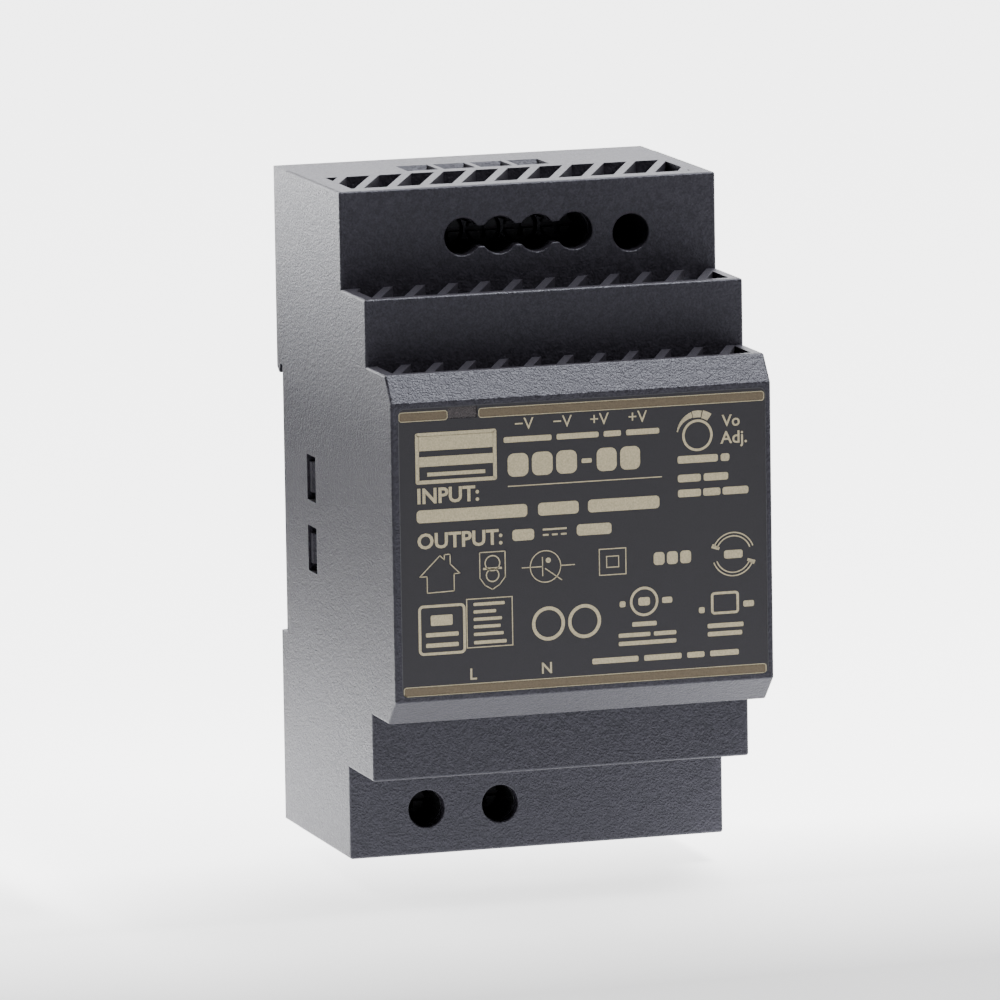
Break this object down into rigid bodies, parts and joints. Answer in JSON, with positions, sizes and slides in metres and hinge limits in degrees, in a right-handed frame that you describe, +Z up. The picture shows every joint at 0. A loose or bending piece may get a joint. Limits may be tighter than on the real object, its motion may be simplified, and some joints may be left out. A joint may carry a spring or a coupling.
{
  "type": "din rail power supply",
  "caption": "Stepped modular power supply that clips to a 35 mm rail, with a vented case, recessed screw clamps, a trimmer, a status window and a sprung rail latch.",
  "frame": {"origin": "centre of the bounding box in plan, on the flat underside", "axes": "+X along the rail, +Y to the rear where the rail is, +Z up"},
  "size_m": [0.0524, 0.0544, 0.09],
  "materials": {
    "housing_plastic": "fine-textured charcoal moulding",
    "label_film": "satin printed film",
    "spring_steel": "drawn wire",
    "terminal_plastic": "glass-filled moulding",
    "tinned_copper": "bright tin",
    "trimmer_blue": "moulded",
    "trimmer_white": "moulded",
    "led_lens": "diffused",
    "clear_acrylic": "polished",
    "polyester_sheet": "smooth film",
    "black_component": "moulding compound",
    "white_component": "moulding compound",
    "varistor_lacquer": "dipped lacquer",
    "thermistor_lacquer": "dipped lacquer",
    "film_capacitor_case": "moulded box",
    "ceramic_disc": "dipped lacquer",
    "ferrite": "ground ceramic",
    "enamelled_copper": "enamelled wire",
    "capacitor_can": "drawn can",
    "capacitor_sleeve": "shrunk sleeve",
    "heatsink_aluminium": "punched sheet",
    "zinc_steel": "zinc plated",
    "bobbin_nylon": "moulded",
    "polyester_tape": "tape",
    "board_laminate": "solder-masked laminate"
  },
  "bodies": {
    "housing": {"front_shell": "housing_plastic", "rear_cover": "housing_plastic", "front_label": "label_film", "latch_spring": "spring_steel", "output_terminal_block": "terminal_plastic", "input_terminal_block": "terminal_plastic", "output_contacts": "tinned_copper", "input_contacts": "tinned_copper", "trimmer_body": "trimmer_blue", "status_led": "led_lens", "led_light_pipe": "clear_acrylic", "insulation_sheet": "polyester_sheet", "input_fuse": "black_component", "surge_varistor": "varistor_lacquer", "inrush_thermistor": "thermistor_lacquer", "x_capacitor": "film_capacitor_case", "y_capacitors": "ceramic_disc", "filter_choke_base": "black_component", "filter_choke_core": "ferrite", "filter_choke_windings": "enamelled_copper", "bridge_rectifier": "black_component", "bulk_capacitor": "capacitor_can", "bulk_capacitor_sleeve": "capacitor_sleeve", "primary_heatsink": "heatsink_aluminium", "secondary_heatsink": "heatsink_aluminium", "switch_transistor": "black_component", "output_rectifier": "black_component", "device_screws": "zinc_steel", "transformer_core_upper": "ferrite", "transformer_core_lower": "ferrite", "transformer_bobbin": "bobbin_nylon", "transformer_winding": "enamelled_copper", "transformer_tape": "polyester_tape", "output_capacitors": "capacitor_can", "output_choke_core": "ferrite", "output_choke_winding": "enamelled_copper", "controller_chip": "black_component", "feedback_optocoupler": "white_component", "surface_mount_parts": "black_component", "main_pcb": "board_laminate"},
    "output_screw_1": {"output_screw_1": "zinc_steel"},
    "output_screw_2": {"output_screw_2": "zinc_steel"},
    "output_screw_3": {"output_screw_3": "zinc_steel"},
    "output_screw_4": {"output_screw_4": "zinc_steel"},
    "output_clamp_1": {"output_clamp_1": "zinc_steel"},
    "output_clamp_2": {"output_clamp_2": "zinc_steel"},
    "output_clamp_3": {"output_clamp_3": "zinc_steel"},
    "output_clamp_4": {"output_clamp_4": "zinc_steel"},
    "input_screw_1": {"input_screw_1": "zinc_steel"},
    "input_screw_2": {"input_screw_2": "zinc_steel"},
    "input_clamp_1": {"input_clamp_1": "zinc_steel"},
    "input_clamp_2": {"input_clamp_2": "zinc_steel"},
    "rail_latch": {"rail_latch": "housing_plastic"},
    "trimmer_rotor": {"trimmer_rotor": "trimmer_white"}
  },
  "joints": [
    {"name": "output_screw_1_turn", "type": "hinge", "parent": "housing", "child": "output_screw_1", "pos_m": [-0.00925, 0.00725, 0.0831], "axis": [0, 1, 0], "range_deg": [0, 3024]},
    {"name": "output_clamp_1_rise", "type": "slide", "parent": "housing", "child": "output_clamp_1", "axis": [0, -1, 0], "range_m": [0, 0.0042]},
    {"name": "output_screw_2_turn", "type": "hinge", "parent": "housing", "child": "output_screw_2", "pos_m": [-0.00405, 0.00725, 0.0831], "axis": [0, 1, 0], "range_deg": [0, 3024]},
    {"name": "output_clamp_2_rise", "type": "slide", "parent": "housing", "child": "output_clamp_2", "axis": [0, -1, 0], "range_m": [0, 0.0042]},
    {"name": "output_screw_3_turn", "type": "hinge", "parent": "housing", "child": "output_screw_3", "pos_m": [0.00115, 0.00725, 0.0831], "axis": [0, 1, 0], "range_deg": [0, 3024]},
    {"name": "output_clamp_3_rise", "type": "slide", "parent": "housing", "child": "output_clamp_3", "axis": [0, -1, 0], "range_m": [0, 0.0042]},
    {"name": "output_screw_4_turn", "type": "hinge", "parent": "housing", "child": "output_screw_4", "pos_m": [0.00635, 0.00725, 0.0831], "axis": [0, 1, 0], "range_deg": [0, 3024]},
    {"name": "output_clamp_4_rise", "type": "slide", "parent": "housing", "child": "output_clamp_4", "axis": [0, -1, 0], "range_m": [0, 0.0042]},
    {"name": "input_screw_1_turn", "type": "hinge", "parent": "housing", "child": "input_screw_1", "pos_m": [-0.01555, 0.00725, 0.0062], "axis": [0, 1, 0], "range_deg": [0, 3024]},
    {"name": "input_clamp_1_rise", "type": "slide", "parent": "housing", "child": "input_clamp_1", "axis": [0, -1, 0], "range_m": [0, 0.0042]},
    {"name": "input_screw_2_turn", "type": "hinge", "parent": "housing", "child": "input_screw_2", "pos_m": [-0.00525, 0.00725, 0.0062], "axis": [0, 1, 0], "range_deg": [0, 3024]},
    {"name": "input_clamp_2_rise", "type": "slide", "parent": "housing", "child": "input_clamp_2", "axis": [0, -1, 0], "range_m": [0, 0.0042]},
    {"name": "trimmer_turn", "type": "hinge", "parent": "housing", "child": "trimmer_rotor", "pos_m": [0.01425, 0.01525, 0.08245], "axis": [0, 1, 0], "range_deg": [-120, 120]},
    {"name": "rail_latch_pull", "type": "slide", "parent": "housing", "child": "rail_latch", "axis": [0, 0, -1], "range_m": [0, 0.0035], "stiffness_N_per_m": 600, "springref_m": -0.004, "deforming": ["latch_spring"]}
  ],
  "couplings": [
    {"joint": "output_screw_1_turn", "follows": "output_clamp_1_rise", "rad_per_m": 12566},
    {"joint": "output_screw_2_turn", "follows": "output_clamp_2_rise", "rad_per_m": 12566},
    {"joint": "output_screw_3_turn", "follows": "output_clamp_3_rise", "rad_per_m": 12566},
    {"joint": "output_screw_4_turn", "follows": "output_clamp_4_rise", "rad_per_m": 12566},
    {"joint": "input_screw_1_turn", "follows": "input_clamp_1_rise", "rad_per_m": 12566},
    {"joint": "input_screw_2_turn", "follows": "input_clamp_2_rise", "rad_per_m": 12566}
  ]
}
